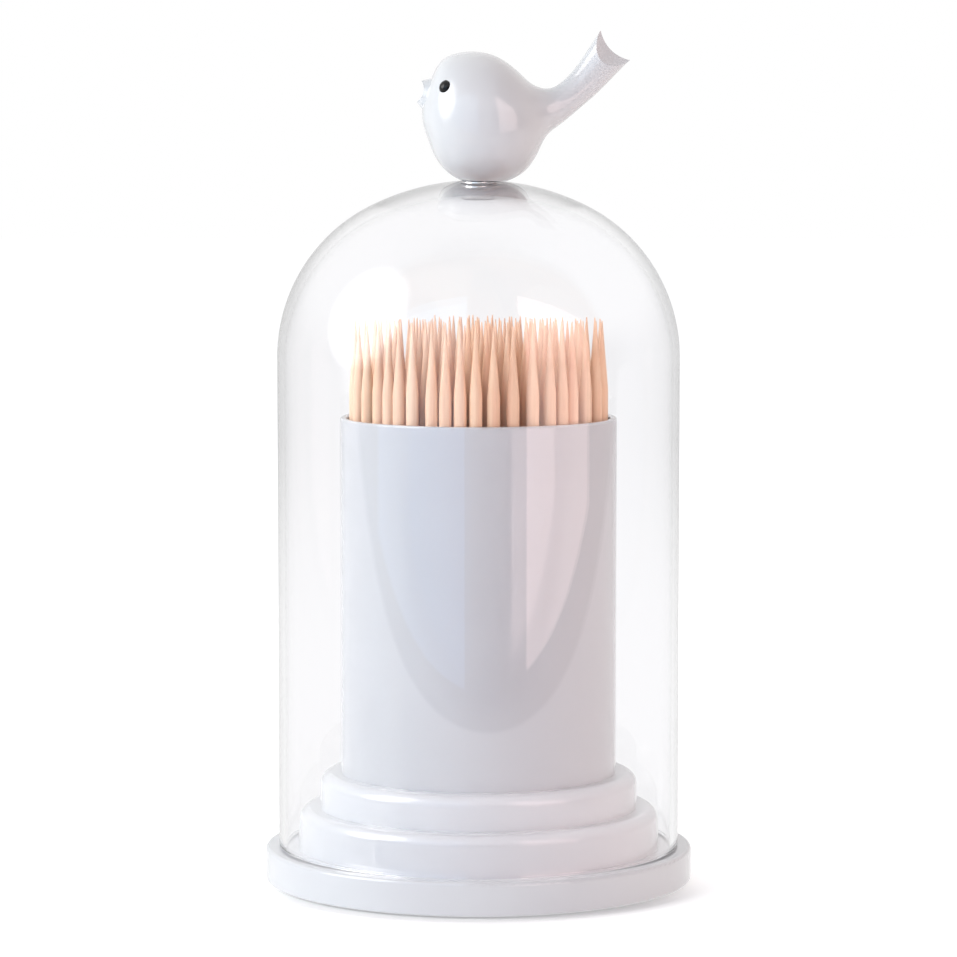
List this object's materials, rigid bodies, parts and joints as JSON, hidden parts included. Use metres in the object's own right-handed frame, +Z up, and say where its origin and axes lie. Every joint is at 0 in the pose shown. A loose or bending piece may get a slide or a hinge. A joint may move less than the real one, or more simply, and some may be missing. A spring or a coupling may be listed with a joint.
{
  "type": "toothpick dispenser",
  "caption": "Table toothpick holder: a white cup of toothpicks on a stepped plinth and round base, under a clear lift-off bell cover with a small bird as its knob.",
  "frame": {"origin": "on the table under the middle of the base", "axes": "+Z up along the axis of cup and cover; the bird faces -X, and the view of the reference is along +Y"},
  "size_m": [0.065, 0.065, 0.1292],
  "materials": {
    "white_plastic": "polished white moulding",
    "bird_plastic": "polished white moulding",
    "clear_plastic": "clear, polished",
    "eye_plastic": "polished black",
    "pick_wood": "bare turned birch",
    "pad_rubber": "soft matt",
    "screw_steel": "zinc plated"
  },
  "bodies": {
    "holder": {"base_disc": "white_plastic", "foot_pads": "pad_rubber", "plinth": "white_plastic", "plinth_screws": "screw_steel", "cup": "white_plastic", "toothpicks": "pick_wood"},
    "cover": {"bell_cover": "clear_plastic", "bird_left_half": "bird_plastic", "bird_right_half": "bird_plastic", "bird_left_eye": "eye_plastic", "bird_right_eye": "eye_plastic"},
    "loose_pick": {"loose_toothpick": "pick_wood"}
  },
  "joints": [
    {"name": "cover_lift", "type": "slide", "parent": "holder", "child": "cover", "axis": [0, 0, 1], "range_m": [0, 0.1]},
    {"name": "pick_lift", "type": "slide", "parent": "holder", "child": "loose_pick", "axis": [0, 0, 1], "range_m": [0, 0.017]}
  ]
}
